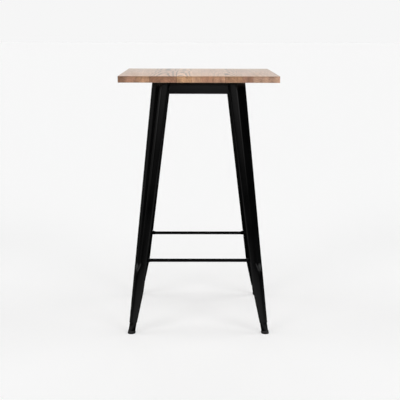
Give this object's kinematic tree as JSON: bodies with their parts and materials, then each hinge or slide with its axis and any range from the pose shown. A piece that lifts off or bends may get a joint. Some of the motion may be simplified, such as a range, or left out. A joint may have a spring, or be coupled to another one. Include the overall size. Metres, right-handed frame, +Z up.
{
  "type": "pub table",
  "caption": "Tall square pub table: edge-glued wooden top on splayed, fluted sheet-steel legs with an apron, thin round foot rungs and rubber feet.",
  "frame": {"origin": "on the floor, under the middle of the top", "axes": "+Z up, the front faces -Y, +X to the right as seen from the front"},
  "size_m": [0.6, 0.6, 1.005],
  "materials": {
    "oiled_hardwood": "oiled, matt",
    "black_powder_coat": "satin powder coat",
    "black_rubber": "matt moulded",
    "zinc_plated_steel": "zinc plated"
  },
  "bodies": {
    "root": {"top_stave_01": "oiled_hardwood", "top_stave_02": "oiled_hardwood", "top_stave_03": "oiled_hardwood", "top_stave_04": "oiled_hardwood", "top_stave_05": "oiled_hardwood", "top_stave_06": "oiled_hardwood", "top_stave_07": "oiled_hardwood", "top_stave_08": "oiled_hardwood", "top_stave_09": "oiled_hardwood", "top_stave_10": "oiled_hardwood", "leg_front_left": "black_powder_coat", "leg_front_right": "black_powder_coat", "leg_back_right": "black_powder_coat", "leg_back_left": "black_powder_coat", "apron_rail_front": "black_powder_coat", "apron_rail_right": "black_powder_coat", "apron_rail_back": "black_powder_coat", "apron_rail_left": "black_powder_coat", "foot_rung_front": "black_powder_coat", "foot_rung_right": "black_powder_coat", "foot_rung_back": "black_powder_coat", "foot_rung_left": "black_powder_coat", "foot_tube_front_left": "black_powder_coat", "foot_cap_front_left": "black_rubber", "foot_tube_front_right": "black_powder_coat", "foot_cap_front_right": "black_rubber", "foot_tube_back_right": "black_powder_coat", "foot_cap_back_right": "black_rubber", "foot_tube_back_left": "black_powder_coat", "foot_cap_back_left": "black_rubber", "rail_bolts": "black_powder_coat", "rail_nuts": "black_powder_coat", "rung_studs": "black_powder_coat", "rung_nuts": "black_powder_coat", "top_screws": "zinc_plated_steel", "top_washers": "zinc_plated_steel"}
  },
  "joints": []
}
